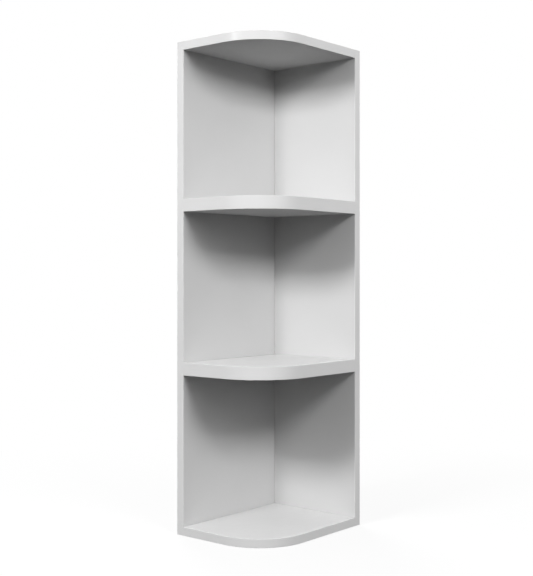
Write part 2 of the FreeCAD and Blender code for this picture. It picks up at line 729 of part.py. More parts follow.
make_side_panel()
make_back_panel()
make_panel_edgings()
for shelf in SHELVES:
    make_shelf(*shelf)
    make_shelf_edging(*shelf)

connecting_screw = make_connecting_screw()
small_screw = make_small_screw()
dowel = make_dowel()

screw_x = f"({LEFT} + Sizes.screw_sink)"
screw_y = "(Sizes.unit_depth / 2 - Sizes.screw_sink)"
dowel_x = f"({INNER_LEFT} - Sizes.dowel_in_panel)"
dowel_y = f"({INNER_BACK} + Sizes.dowel_in_panel)"
corner_y = f"({INNER_BACK} + Sizes.board / 2)"
for (label, thick, level), middle in zip(SHELVES, SHELF_MIDDLES):
    side_y = [f"({INNER_BACK} - {y})" for y in SIDE_SCREWS_Y]
    back_x = [f"({INNER_LEFT} + {x})" for x in BACK_SCREWS_X]
    make_group(f"{label}_side_screws", connecting_screw,
               [(screw_x, y, middle) for y in side_y], INTO_X)
    make_group(f"{label}_back_screws", connecting_screw,
               [(x, screw_y, middle) for x in back_x], INTO_MINUS_Y)
    make_group(f"{label}_side_dowel", dowel,
               [(dowel_x, f"({INNER_BACK} - {SIDE_DOWEL_Y})", middle)], INTO_X)
    make_group(f"{label}_back_dowel", dowel,
               [(f"({INNER_LEFT} + {BACK_DOWEL_X})", dowel_y, middle)], INTO_MINUS_Y)
make_group("corner_screws", connecting_screw,
           [(screw_x, corner_y, middle) for middle in ROOM_MIDDLES], INTO_X)
make_group("corner_dowels", dowel,
           [(dowel_x, corner_y, middle) for middle in SHELF_MIDDLES[1:3]], INTO_X)
for side, x in HANGERS_X.items():
    make_hanger_plate(side, x)
    heights = [f"({HANGER_LEVEL} {sign} {HANGER_REACH})" for sign in "-+"]
    ends = [(f"({INNER_LEFT} + {x})", "Sizes.unit_depth / 2", height) for height in heights]
    make_group(f"{side}_hanger_screws", small_screw, ends, INTO_MINUS_Y)

doc.recompute()
for obj in doc.Objects:
    if {"Invalid", "Error"} & set(obj.State):
        raise RuntimeError(f"{obj.Name} is {obj.State}")
os.makedirs("parts", exist_ok=True)
for obj in parts:
    if obj.Shape.isNull() or not obj.Shape.isValid():
        raise RuntimeError(f"{obj.Label} has no valid shape")
    obj.Shape.exportStep(f"parts/{obj.Label}.step")
print(len(parts), "parts written")
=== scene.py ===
"""Dresses the corner shelf unit: faced boards, bent and straight edging strips, screws,
dowels and hanging plates, on a plain studio stage."""

import math

import bpy
import numpy as np
from bpy.props import FloatProperty, FloatVectorProperty, PointerProperty
from bpy.types import Operator, Panel, PropertyGroup
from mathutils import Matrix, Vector


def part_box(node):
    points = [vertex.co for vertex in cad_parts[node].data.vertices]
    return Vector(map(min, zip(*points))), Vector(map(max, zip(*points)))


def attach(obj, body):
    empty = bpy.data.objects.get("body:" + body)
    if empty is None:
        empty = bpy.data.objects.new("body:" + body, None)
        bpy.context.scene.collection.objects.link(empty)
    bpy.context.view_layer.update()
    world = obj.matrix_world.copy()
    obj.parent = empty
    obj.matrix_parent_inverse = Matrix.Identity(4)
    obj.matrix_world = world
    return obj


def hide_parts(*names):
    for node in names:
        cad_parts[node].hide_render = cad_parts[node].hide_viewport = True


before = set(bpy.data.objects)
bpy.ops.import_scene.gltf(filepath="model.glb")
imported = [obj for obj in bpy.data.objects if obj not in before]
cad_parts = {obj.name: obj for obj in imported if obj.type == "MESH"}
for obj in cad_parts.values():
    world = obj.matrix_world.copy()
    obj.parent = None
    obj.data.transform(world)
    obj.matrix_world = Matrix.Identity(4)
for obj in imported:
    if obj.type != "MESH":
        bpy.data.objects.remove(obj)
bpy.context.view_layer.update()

bl_info = {
    "name": "Corner Shelf Unit",
    "version": (1, 0, 0),
    "blender": (4, 5, 0),
    "location": "3D View > Sidebar > Corner Shelf",
    "description": "Edging strips, board faces, fastenings and stage of a corner shelf unit",
    "category": "Object",
}

BODY = "root"
SHELVES = ("bottom_shelf", "lower_shelf", "upper_shelf", "top_shelf")

# Each board with the axis that runs through its thickness.
BOARD_AXES = {
    "side_panel": 0,
    "back_panel": 1,
    "bottom_shelf": 2,
    "lower_shelf": 2,
    "upper_shelf": 2,
    "top_shelf": 2,
}

# Straight strips: the axis they run along, and the axis and side that their outer face looks to.
STRAIGHT_STRIPS = {
    "side_panel_front_edging": (2, 1, -1),
    "side_panel_rear_edging": (2, 1, 1),
    "side_panel_top_edging": (1, 2, 1),
    "side_panel_bottom_edging": (1, 2, -1),
    "back_panel_front_edging": (2, 0, 1),
    "back_panel_top_edging": (0, 2, 1),
    "back_panel_bottom_edging": (0, 2, -1),
}

# Strips: points round one arris, the support point's distance as a share of the arris, the
# largest share of a thin strip that its arris takes, rings at one end, and the ease of an end as
# a share of the glue line's round.
ARRIS_POINTS = 7
SUPPORT_SHARE = 0.12
ARRIS_LIMIT = 0.45
END_RINGS = 5
END_EASE = 0.8

# Rings along a bent strip's front, its bend and its side, and along a straight strip, and how far
# from a bent strip's ends the first and the last of them stand, in metres.
FRONT_RINGS = 6
BEND_RINGS = 61
SIDE_RINGS = 8
STRAIGHT_RINGS = 12
RING_MARGIN = 0.01

# Faces that meet at more than this angle keep a sharp edge between them.
SHARP_ANGLE = math.radians(40.0)

# Connecting screws, in metres: radii of crest, root, head and tip, half the socket's flats,
# and how far the neck, the tip and the socket reach along the screw.
CREST, ROOT, HEAD, TIP, HALF_FLATS = 0.0035, 0.0024, 0.005, 0.0012, 0.002
SCREW_LENGTH, NECK, POINT, SOCKET = 0.050, 0.014, 0.003, 0.0034
SCREW_COLUMNS = 36

# Rings of a screw, as shares: the socket's of its hexagon and of its depth, from its floor out;
# the head's of its radius and of its cone, from the rim in; the tip's of its taper; and the flat
# at the very tip of the tip's radius.
SOCKET_WIDTHS = (0.94, 1.0, 1.0, 1.0, 1.09)
SOCKET_DEPTHS = (1.0, 0.97, 0.5, 0.08, 0.0)
HEAD_WIDTHS = (0.62, 0.96, 0.975, 0.97)
HEAD_DEPTHS = (0.0, 0.0, 0.02, 0.1, 1.0, 1.2)
TIP_TAPER = (0.0, 0.5, 0.96, 1.0)
TIP_FLAT = 0.92

# The thread: rings in one turn, and half the groove's width as a share of a turn.
TURN_RINGS = 12
GROOVE_HALF = 0.4

# Finishes: clouds, patches, grains, flecks and marks are in grains a metre, lines in grains a
# metre along each axis. A span is the part of a pattern's range that is used, tints are the
# darkest and the lightest share of the colour, gloss is a range of roughness, dullness what the
# chips add to it, softness the diffuse roughness, and a relief a bump's strength and depth in
# metres.
NOISE_SPAN = (0.3, 0.7)
FILM_CLOUDS, FILM_TINTS = 7.0, (0.975, 1.01)
FILM_PATCHES, FILM_GLOSS = 90.0, (0.40, 0.50)
PEARL_RELIEF = (0.10, 0.0002)
CHIP_GRAINS, CHIP_TINTS, CHIP_SPAN = 420.0, (0.6, 1.25), (0.1, 0.8)
CHIP_DULLNESS, CHIP_RELIEF = 0.45, (0.5, 0.0008)
EDGING_CLOUDS, EDGING_TINTS = 11.0, (0.98, 1.01)
EDGING_GLOSS, EDGING_SOFTNESS = (0.20, 0.24), 0.5
DRAW_LINES, DRAW_RELIEF = (6.0, 2600.0, 1.0), (0.04, 0.0001)
PEEL_GRAINS, PEEL_RELIEF = 420.0, (0.04, 0.0002)
ZINC_SPANGLE, ZINC_TINTS = 480.0, (0.86, 1.06)
ZINC_PATCHES, ZINC_GLOSS = 1500.0, (0.24, 0.42)
ZINC_MARKS, ZINC_RELIEF = 2400.0, (0.12, 0.0001)
STEEL_LINES, STEEL_TINTS = (2200.0, 2200.0, 45.0), (0.88, 1.08)
STEEL_GLOSS, STEEL_RELIEF = (0.30, 0.44), (0.15, 0.0001)
BEECH_FLECKS, BEECH_TINTS = 900.0, (0.72, 1.15)
BEECH_GLOSS, BEECH_RELIEF = (0.62, 0.48), (0.25, 0.0002)

# The floor: how far it reaches and how deep under the unit it lies, in metres, its lines each
# way, its faint clouds, and the white's share with the distances between which it grows.
FLOOR_REACH, FLOOR_DROP, FLOOR_LINES = 9.0, 0.0004, 9
FLOOR_CLOUDS, FLOOR_TINTS = 3.0, (0.99, 1.01)
WHITE_SHARE, WHITE_SPAN = (0.82, 1.0), (0.30, 1.10)
WHITE = (1.0, 1.0, 1.0, 1.0)

# The photograph's frame and the camera that fits it: pixels, metres, degrees and millimetres.
IMAGE_HEIGHT = 576.0
FOCAL_PIXELS = 1045.99
HORIZON_ROW = 272.95
CAMERA_PLACE = (1.27786, -1.53121, 0.48878)
CAMERA_AZIMUTH = 40.0505
SENSOR_HEIGHT = 36.0

# Soft lamps: azimuth from the front towards the right and elevation, in degrees; distance, width,
# height and how far from the lamp its light is held back, in metres; whether gloss mirrors it.
LAMPS = {
    "front_softbox": dict(
        azimuth=-2.0, elevation=30.0, distance=1.48, width=0.4, height=0.24, held=0.8, mirrored=False
    ),
    "side_softbox": dict(
        azimuth=74.0, elevation=30.0, distance=1.70, width=0.8, height=0.4, held=0.0, mirrored=False
    ),
    "rear_softbox": dict(
        azimuth=236.0, elevation=8.0, distance=2.2, width=1.2, height=1.2, held=0.0, mirrored=True
    ),
    "glint_lamp": dict(
        azimuth=-12.5, elevation=26.0, distance=1.57, width=0.22, height=0.22, held=0.0, mirrored=True
    ),
}
LAMP_TARGET = (0.0, 0.0, 0.46)
LIGHT_BOUNCES = 1


class BoardFinish(PropertyGroup):
    """White faced chipboard."""

    face: FloatVectorProperty(
        name="Face",
        description="Colour of the white facing film",
        subtype="COLOR",
        size=3,
        min=0.0,
        max=1.0,
        default=(0.70, 0.70, 0.70),
    )
    core: FloatVectorProperty(
        name="Core",
        description="Colour of the chips inside the board",
        subtype="COLOR",
        size=3,
        min=0.0,
        max=1.0,
        default=(0.46, 0.34, 0.22),
    )
    film: FloatProperty(
        name="Film",
        description="Thickness of the facing film",
        unit="LENGTH",
        min=0.00005,
        max=0.002,
        precision=5,
        default=0.0003,
    )
    pearl: FloatProperty(
        name="Pearl",
        description="Size of one grain of the pressed pearl texture",
        unit="LENGTH",
        min=0.0001,
        max=0.01,
        precision=5,
        default=0.0011,
    )


class EdgingFinish(PropertyGroup):
    """Satin plastic edging strips."""

    colour: FloatVectorProperty(
        name="Colour",
        description="Colour of the edging strips",
        subtype="COLOR",
        size=3,
        min=0.0,
        max=1.0,
        default=(0.79, 0.79, 0.79),
    )
    corner_radius: FloatProperty(
        name="Corner radius",
        description="Radius of the outer face where a strip bends round a shelf's corner",
        unit="LENGTH",
        min=0.02,
        max=0.19,
        default=0.100,
    )
    outer_round: FloatProperty(
        name="Outer round",
        description="Radius of the arrises along a strip's outer face",
        unit="LENGTH",
        min=0.0002,
        max=0.0009,
        precision=5,
        default=0.0005,
    )
    glue_round: FloatProperty(
        name="Glue round",
        description="Radius of the arrises along the glue line",
        unit="LENGTH",
        min=0.00005,
        max=0.0004,
        precision=5,
        default=0.00018,
    )


class HardwareFinish(PropertyGroup):
    """Screws, dowels and hanging plates."""

    zinc: FloatVectorProperty(
        name="Zinc",
        description="Colour of the zinc on the screws",
        subtype="COLOR",
        size=3,
        min=0.0,
        max=1.0,
        default=(0.52, 0.53, 0.55),
    )
    steel: FloatVectorProperty(
        name="Steel",
        description="Colour of the hanging plates",
        subtype="COLOR",
        size=3,
        min=0.0,
        max=1.0,
        default=(0.44, 0.45, 0.46),
    )
    beech: FloatVectorProperty(
        name="Beech",
        description="Colour of the dowels",
        subtype="COLOR",
        size=3,
        min=0.0,
        max=1.0,
        default=(0.62, 0.43, 0.26),
    )
    thread_pitch: FloatProperty(
        name="Thread pitch",
        description="Rise of the connecting screws' thread in one turn",
        unit="LENGTH",
        min=0.001,
        max=0.006,
        precision=4,
        default=0.003,
    )


class StageSettings(PropertyGroup):
    """Floor, light levels and room light."""

    floor: FloatVectorProperty(
        name="Floor",
        description="Colour of the floor",
        subtype="COLOR",
        size=3,
        min=0.0,
        max=1.0,
        default=(0.80, 0.80, 0.80),
    )
    floor_return: FloatProperty(
        name="Floor return",
        description="Share of its tone with which the floor throws light back on the unit",
        subtype="FACTOR",
        min=0.0,
        max=1.0,
        default=0.0,
    )
    room_level: FloatProperty(
        name="Room light",
        description="Even light from all round, as a share of a full exposure",
        subtype="FACTOR",
        min=0.0,
        max=2.0,
        default=0.41,
    )
    front_level: FloatProperty(
        name="Front lamp",
        description="Light of the front lamp on a card that faces it",
        subtype="FACTOR",
        min=0.0,
        max=2.0,
        default=0.61,
    )
    side_level: FloatProperty(
        name="Side lamp",
        description="Light of the side lamp on a card that faces it",
        subtype="FACTOR",
        min=0.0,
        max=2.0,
        default=0.54,
    )
    rear_level: FloatProperty(
        name="Rear lamp",
        description="Light of the rear lamp on a card that faces it",
        subtype="FACTOR",
        min=0.0,
        max=2.0,
        default=0.85,
    )
    glint_level: FloatProperty(
        name="Glint lamp",
        description="Light of the small lamp that draws the glint on the bent edging",
        subtype="FACTOR",
        min=0.0,
        max=2.0,
        default=0.06,
    )


def add_node(tree, kind, inputs=None, **settings):
    """Adds a node, sets its fields, and gives each named input a value or a link."""
    made = tree.nodes.new(kind)
    for field, value in settings.items():
        setattr(made, field, value)
    for socket, value in (inputs or {}).items():
        if isinstance(value, bpy.types.NodeSocket):
            tree.links.new(value, made.inputs[socket])
        else:
            made.inputs[socket].default_value = value
    return made


def new_finish(name):
    """A material with an empty tree, its shader and its Object coordinates."""
    finish = bpy.data.materials.new(name)
    finish.use_nodes = True
    tree = finish.node_tree
    tree.nodes.clear()
    shader = add_node(tree, "ShaderNodeBsdfPrincipled")
    add_node(tree, "ShaderNodeOutputMaterial", {"Surface": shader.outputs["BSDF"]})
    coords = add_node(tree, "ShaderNodeTexCoord").outputs["Object"]
    return finish, tree, shader, coords


def feed(tree, shader, links):
    """Links each named input of a shader to its source."""
    for socket, source in links.items():
        tree.links.new(source, shader.inputs[socket])


def noise(tree, vector, grains, detail=2.0, roughness=0.5):
    """Noise of that many grains a metre."""
    made = add_node(
        tree,
        "ShaderNodeTexNoise",
        {"Vector": vector, "Scale": grains, "Detail": detail, "Roughness": roughness},
    )
    return made.outputs["Fac"]


def lined_noise(tree, vector, lines, detail):
    """Noise drawn out into lines, of that many grains a metre along each axis."""
    drawn = add_node(tree, "ShaderNodeMapping", {"Vector": vector, "Scale": lines})
    return noise(tree, drawn.outputs["Vector"], 1.0, detail)


def spread(tree, value, result, span=NOISE_SPAN):
    """Carries a value from its span over to the range of the result."""
    ends = {
        "Value": value,
        "From Min": span[0],
        "From Max": span[1],
        "To Min": result[0],
        "To Max": result[1],
    }
    return add_node(tree, "ShaderNodeMapRange", ends).outputs["Result"]


def tinted(colour, factor):
    """A colour made lighter or darker by a factor, no lighter than white."""
    return tuple(min(1.0, factor * part) for part in colour)


def shades(tree, value, colour, tints, span=NOISE_SPAN):
    """Carries a value from its span over to a colour's tints."""
    made = add_node(tree, "ShaderNodeValToRGB", {"Fac": value})
    for stop, place, factor in zip(made.color_ramp.elements, span, tints):
        stop.position = place
        stop.color = (*tinted(colour, factor), 1.0)
    return made.outputs["Color"]


def blend_colours(tree, share, first, second):
    """The first colour, and the second where the share is 1."""
    made = add_node(
        tree, "ShaderNodeMixRGB", {"Fac": share, "Color1": first, "Color2": second}
    )
    return made.outputs["Color"]


def math_node(tree, operation, first, second=0.0):
    """One sum on two numbers or links."""
    made = add_node(tree, "ShaderNodeMath", {0: first, 1: second}, operation=operation)
    return made.outputs["Value"]


def relief(tree, height, bump, under=None):
    """A bump of a strength and a depth in metres, over the bump under it."""
    strength, depth = bump
    inputs = {"Height": height, "Strength": strength, "Distance": depth}
    if under is not None:
        inputs["Normal"] = under
    return add_node(tree, "ShaderNodeBump", inputs).outputs["Normal"]


def faced_board(name, settings, axis, low, high):
    """White film with a fine pearl on both faces of a board, and chips where the film ends.

    A point shows chips if its distance from the board's middle plane is less than half the
    thickness less the film.
    """
    finish, tree, shader, coords = new_finish(name)
    split = add_node(tree, "ShaderNodeSeparateXYZ", {"Vector": coords})
    from_middle = math_node(
        tree, "ABSOLUTE", math_node(tree, "SUBTRACT", split.outputs[axis], (low + high) / 2.0)
    )
    inside = math_node(tree, "LESS_THAN", from_middle, (high - low) / 2.0 - settings.film)

    clouds = noise(tree, coords, FILM_CLOUDS, detail=3.0)
    film = shades(tree, clouds, settings.face, FILM_TINTS)
    chips = add_node(
        tree, "ShaderNodeTexVoronoi", {"Vector": coords, "Scale": CHIP_GRAINS, "Randomness": 1.0}
    ).outputs["Distance"]
    flakes = shades(tree, chips, settings.core, CHIP_TINTS, CHIP_SPAN)

    gloss = spread(tree, noise(tree, coords, FILM_PATCHES, detail=3.0), FILM_GLOSS)
    dullness = math_node(tree, "MULTIPLY", inside, CHIP_DULLNESS)

    grains = noise(tree, coords, 1.0 / settings.pearl, roughness=0.6)
    pearl = relief(tree, grains, PEARL_RELIEF)
    torn = math_node(tree, "MULTIPLY", chips, inside)
    feed(
        tree,
        shader,
        {
            "Base Color": blend_colours(tree, inside, film, flakes),
            "Roughness": math_node(tree, "ADD", gloss, dullness),
            "Normal": relief(tree, torn, CHIP_RELIEF, pearl),
        },
    )
    return finish


def satin_edging(settings):
    """Extruded strip plastic: faint draw lines along the strip, a fine peel, an even satin gloss."""
    finish, tree, shader, coords = new_finish("satin_edging")
    shader.inputs["Diffuse Roughness"].default_value = EDGING_SOFTNESS
    along = add_node(tree, "ShaderNodeTexCoord").outputs["UV"]
    lines = lined_noise(tree, along, DRAW_LINES, detail=2.0)
    clouds = noise(tree, coords, EDGING_CLOUDS)
    drawn = relief(tree, lines, DRAW_RELIEF)
    peel = noise(tree, coords, PEEL_GRAINS, detail=1.0)
    feed(
        tree,
        shader,
        {
            "Base Color": shades(tree, clouds, settings.colour, EDGING_TINTS),
            "Roughness": spread(tree, lines, EDGING_GLOSS),
            "Normal": relief(tree, peel, PEEL_RELIEF, drawn),
        },
    )
    return finish


def zinc_plate(settings):
    """Bright zinc: a soft spangle in tone, patches of gloss, and fine tumbling marks."""
    finish, tree, shader, coords = new_finish("zinc_plate")
    shader.inputs["Metallic"].default_value = 1.0
    spangle = noise(tree, coords, ZINC_SPANGLE, detail=3.0)
    feed(
        tree,
        shader,
        {
            "Base Color": shades(tree, spangle, settings.zinc, ZINC_TINTS),
            "Roughness": spread(tree, noise(tree, coords, ZINC_PATCHES), ZINC_GLOSS),
            "Normal": relief(tree, noise(tree, coords, ZINC_MARKS), ZINC_RELIEF),
        },
    )
    return finish


def rolled_steel(settings):
    """Pressed steel sheet: rolling lines up the plate, tone and gloss that follow them."""
    finish, tree, shader, coords = new_finish("rolled_steel")
    shader.inputs["Metallic"].default_value = 1.0
    lines = lined_noise(tree, coords, STEEL_LINES, detail=3.0)
    feed(
        tree,
        shader,
        {
            "Base Color": shades(tree, lines, settings.steel, STEEL_TINTS),
            "Roughness": spread(tree, lines, STEEL_GLOSS),
            "Normal": relief(tree, lines, STEEL_RELIEF),
        },
    )
    return finish


def turned_beech(settings):
    """Beech: short dark flecks on a warm ground, with a soft grain."""
    finish, tree, shader, coords = new_finish("turned_beech")
    flecks = noise(tree, coords, BEECH_FLECKS, detail=3.0)
    feed(
        tree,
        shader,
        {
            "Base Color": shades(tree, flecks, settings.beech, BEECH_TINTS),
            "Roughness": spread(tree, flecks, BEECH_GLOSS),
            "Normal": relief(tree, flecks, BEECH_RELIEF),
        },
    )
    return finish


def dress(names, finish):
    """Gives each named CAD node that one finish in every slot it has."""
    for name in names:
        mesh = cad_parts[name].data
        mesh.materials.clear()
        mesh.materials.append(finish)


def box_of(node):
    """A node's lowest and highest corner as arrays."""
    low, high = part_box(node)
    return np.array(low, float), np.array(high, float)


def strip_section(thick, wide, outer, glue, inset):
    """The strip's section at each ring of its path: a rectangle with four rounded corners.

    A corner point is the corner's centre plus its radius, less the ring's inset, times the
    direction of its angle. One support point follows each end of a corner along the flats, so
    that the flats shade flat. Gives depth behind the outer face and place across the strip.
    """
    reach = np.array([outer, glue, glue, outer])
    depth = np.array([outer, thick - glue, thick - glue, outer])
    across = np.array([outer, glue, wide - glue, wide - outer])
    start = np.radians([180.0, 270.0, 0.0, 90.0])
    angle = start[:, None] + np.linspace(0.0, math.pi / 2.0, ARRIS_POINTS)[None, :]
    ray = np.stack([np.cos(angle), np.sin(angle)], axis=-1)
    centre = np.stack([depth, across], axis=-1)[:, None, :]
    radius = (reach[None, :] - inset[:, None])[:, :, None, None]
    arc = centre[None] + radius * ray[None]
    lead = np.stack([np.sin(angle[:, 0]), -np.cos(angle[:, 0])], axis=-1)
    tail = np.stack([-np.sin(angle[:, -1]), np.cos(angle[:, -1])], axis=-1)
    support = SUPPORT_SHARE * min(outer, thick - outer - glue)
    before = arc[:, :, :1, :] + support * lead[None, :, None, :]
    after = arc[:, :, -1:, :] + support * tail[None, :, None, :]
    ring = np.concatenate([before, arc, after], axis=2)
    return ring.reshape(len(inset), -1, 2)


def strip_stations(length, ease, breaks):
    """Places along a strip and the section's inset there.

    Near each end the inset follows a quarter circle of the ease's radius, from the ease itself
    at the end to nothing; between the ends it is nothing.
    """
    turn = np.linspace(math.pi / 2.0, 0.0, END_RINGS)
    near = ease * (1.0 - np.sin(turn))
    inset = ease * (1.0 - np.cos(turn))
    middle = np.concatenate([[2.0 * ease], breaks, [length - 2.0 * ease]])
    place = np.concatenate([near, middle, (length - near)[::-1]])
    insets = np.concatenate([inset, np.zeros(len(middle)), inset[::-1]])
    return place, insets


def shell(points, place, section):
    """A closed shell through the rings of points, rows along the path and columns round it.

    Face i, k joins ring i to ring i + 1 between columns k and k + 1, the last column to the
    first, and each end is closed by a ladder of faces across its ring. UV is metres along the
    path and metres round the section. Faces are turned round if they enclose less than nothing.
    """
    rings, columns = points.shape[:2]
    row = np.arange(rings - 1)[:, None] * columns
    column = np.arange(columns)[None, :]
    after = (column + 1) % columns
    walls = np.stack(
        [row + column, row + columns + column, row + columns + after, row + after], axis=-1
    ).reshape(-1, 4)
    rung = np.arange(columns // 2 - 1)
    ladder = np.stack([rung, rung + 1, columns - 2 - rung, columns - 1 - rung], axis=-1)
    faces = np.concatenate([walls, ladder, ladder[:, ::-1] + (rings - 1) * columns])

    flat = points.reshape(-1, 3)
    first, second, third, fourth = (flat[faces[:, corner]] for corner in range(4))
    volume = np.sum(first * np.cross(second, third)) + np.sum(first * np.cross(third, fourth))

    middle = section[rings // 2]
    step = np.linalg.norm(np.diff(middle, axis=0, append=middle[:1]), axis=1)
    girth = np.concatenate([[0.0], np.cumsum(step)])
    along, round_it = np.meshgrid(place, girth, indexing="ij")
    grid = np.stack([along, round_it], axis=-1)
    wall_uv = np.stack([grid[:-1, :-1], grid[1:, :-1], grid[1:, 1:], grid[:-1, 1:]], axis=2)
    end_uv = np.concatenate([section[0][ladder], section[-1][ladder[:, ::-1]]])
    uv = np.concatenate([wall_uv.reshape(-1, 4, 2), end_uv])
    if volume < 0.0:
        faces, uv = faces[:, ::-1], uv[:, ::-1]
    return flat, faces, uv


def join_shells(name, shells):
    """One piece of several shells, smooth but for its real edges."""
    starts = np.cumsum([0] + [len(flat) for flat, _, _ in shells])
    points = np.concatenate([flat for flat, _, _ in shells])
    faces = np.concatenate([quads + start for (_, quads, _), start in zip(shells, starts)])
    uv = np.concatenate([part for _, _, part in shells])
    mesh = bpy.data.meshes.new(name)
    mesh.from_pydata(points, [], faces)
    layer = mesh.uv_layers.new(name="run")
    layer.data.foreach_set("uv", np.ascontiguousarray(uv, np.float32).ravel())
    mesh.polygons.foreach_set("use_smooth", np.ones(len(faces), bool))
    mesh.set_sharp_from_angle(angle=SHARP_ANGLE)
    mesh.update()
    piece = bpy.data.objects.new(name, mesh)
    bpy.context.scene.collection.objects.link(piece)
    return piece


def bent_strip(node, settings):
    """A strip bent round a shelf's front corner: straight, a quarter circle, straight.

    With s along the outer face, a the straight front's length and R the corner's radius, the
    turn is (s - a) / R held between nothing and a quarter, and the outer line is
    x = x0 + min(s, a) + R sin(turn), y = y0 + R (1 - cos(turn)) + what s leaves after the corner.
    The section stands on that line, its depth along the inward normal and its width upwards, and
    the strip is as thick as the board's front stands back from the strip's.
    """
    low, high = box_of(node)
    radius = settings.corner_radius
    front = high[0] - low[0] - radius
    side = high[1] - low[1] - radius
    bend = front + radius * math.pi / 2.0
    breaks = np.concatenate(
        [
            np.linspace(RING_MARGIN, front, FRONT_RINGS),
            front + radius * np.linspace(0.0, math.pi / 2.0, BEND_RINGS)[1:],
            bend + np.linspace(0.0, side - RING_MARGIN, SIDE_RINGS)[1:],
        ]
    )
    place, inset = strip_stations(bend + side, END_EASE * settings.glue_round, breaks)
    thick = box_of(node.replace("_edging", ""))[0][1] - low[1]
    section = strip_section(
        thick, high[2] - low[2], settings.outer_round, settings.glue_round, inset
    )
    turn = np.clip((place - front) / radius, 0.0, math.pi / 2.0)[:, None]
    run = place[:, None]
    depth, up = section[..., 0], section[..., 1]
    points = np.stack(
        [
            low[0] + np.minimum(run, front) + (radius - depth) * np.sin(turn),
            low[1] + radius - (radius - depth) * np.cos(turn) + np.maximum(run - bend, 0.0),
            low[2] + up,
        ],
        axis=-1,
    )
    return join_shells(node + "_strip", [shell(points, place, section)])


def straight_strip(node, settings, run_axis, face_axis, side):
    """A straight strip: its section carried along one axis of its box.

    Depth runs from the outer face into the board, place across the strip along the third axis.
    """
    low, high = box_of(node)
    wide_axis = 3 - run_axis - face_axis
    length = high[run_axis] - low[run_axis]
    thick = high[face_axis] - low[face_axis]
    rounding = min(settings.outer_round, ARRIS_LIMIT * thick)
    breaks = np.linspace(0.0, length, STRAIGHT_RINGS)[1:-1]
    place, inset = strip_stations(length, END_EASE * settings.glue_round, breaks)
    section = strip_section(
        thick, high[wide_axis] - low[wide_axis], rounding, settings.glue_round, inset
    )
    points = np.empty(section.shape[:2] + (3,))
    points[..., run_axis] = low[run_axis] + place[:, None]
    outer = high[face_axis] if side > 0 else low[face_axis]
    points[..., face_axis] = outer - side * section[..., 0]
    points[..., wide_axis] = low[wide_axis] + section[..., 1]
    return join_shells(node + "_strip", [shell(points, place, section)])


def threaded_screw(head, run, pitch):
    """A connecting screw, from its socket's floor over the head and the thread to the tip.

    Round the socket the radius is half the flats over the cosine of the angle from the nearest
    flat. Along the thread it is the crest less the groove's depth times a V of the share of a
    turn, which is the fraction of place / pitch - angle / full turn; the groove takes four
    fifths of a turn and fades in and out over one pitch. Place runs along the screw's axis.
    """
    angle = np.linspace(0.0, 2.0 * math.pi, SCREW_COLUMNS, endpoint=False)
    hexagon = HALF_FLATS / np.cos(angle % (math.pi / 3.0) - math.pi / 6.0)
    socket = np.array(SOCKET_WIDTHS)[:, None] * hexagon
    socket_place = SOCKET * np.array(SOCKET_DEPTHS)
    head_radius = np.concatenate([HEAD * np.array(HEAD_WIDTHS), [CREST, CREST]])
    head_place = (HEAD - CREST) * np.array(HEAD_DEPTHS)
    thread_end = SCREW_LENGTH - POINT
    thread_place = np.arange(NECK, thread_end, pitch / TURN_RINGS)
    share = (thread_place[:, None] / pitch - angle / (2.0 * math.pi)) % 1.0
    groove = np.clip(1.0 - np.abs(share / GROOVE_HALF - 1.0), 0.0, None)
    fade_in = np.clip((thread_place - NECK) / pitch, 0.0, 1.0)
    fade_out = np.clip((thread_end - thread_place) / pitch, 0.0, 1.0)
    thread = CREST - (CREST - ROOT) * groove * (fade_in * fade_out)[:, None]
    taper = np.array(TIP_TAPER)
    tip_radius = CREST + (TIP - CREST) * taper
    tip_radius[-1] = TIP_FLAT * TIP
    tip_place = thread_end + POINT * taper

    round_it = np.ones(SCREW_COLUMNS)
    radius = np.concatenate(
        [socket, np.outer(head_radius, round_it), thread, np.outer(tip_radius, round_it)]
    )
    place = np.concatenate([socket_place, head_place, thread_place, tip_place])
    section = np.stack([radius * np.cos(angle), radius * np.sin(angle)], axis=-1)
    across = np.roll(run, 1)
    upward = np.cross(run, across)
    points = (
        np.asarray(head)
        + place[:, None, None] * run
        + section[..., :1] * across
        + section[..., 1:] * upward
    )
    return shell(points, np.abs(place), section)


def screw_heads():
    """Each connecting screws' node with the middles of its screws' heads and their direction.

    The node's box gives the head's width across its height, and with it where the outermost
    screws stand; the corner screws stand half-way up each room.
    """
    inward, forward = np.array([1.0, 0.0, 0.0]), np.array([0.0, -1.0, 0.0])
    heads = {}
    for shelf in SHELVES:
        low, high = box_of(shelf + "_side_screws")
        half, level = (high[2] - low[2]) / 2.0, (low[2] + high[2]) / 2.0
        ends = low[1] + half, high[1] - half
        heads[shelf + "_side_screws"] = [(low[0], y, level) for y in ends], inward
        low, high = box_of(shelf + "_back_screws")
        ends = low[0] + half, high[0] - half
        heads[shelf + "_back_screws"] = [(x, high[1], level) for x in ends], forward
    low, high = box_of("corner_screws")
    floors = [box_of(shelf)[1][2] for shelf in SHELVES[:-1]]
    ceilings = [box_of(shelf)[0][2] for shelf in SHELVES[1:]]
    levels = [(floor + ceiling) / 2.0 for floor, ceiling in zip(floors, ceilings)]
    heads["corner_screws"] = [(low[0], (low[1] + high[1]) / 2.0, z) for z in levels], inward
    return heads


def seat(piece, node, finish):
    """Puts a piece in a CAD node's place, with its finish."""
    piece.data.materials.append(finish)
    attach(piece, BODY)
    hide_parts(node)


def edging_finish():
    """The strips' finish, made once and shared."""
    made = bpy.data.materials.get("satin_edging")
    return made or satin_edging(bpy.context.scene.shelf_edging)


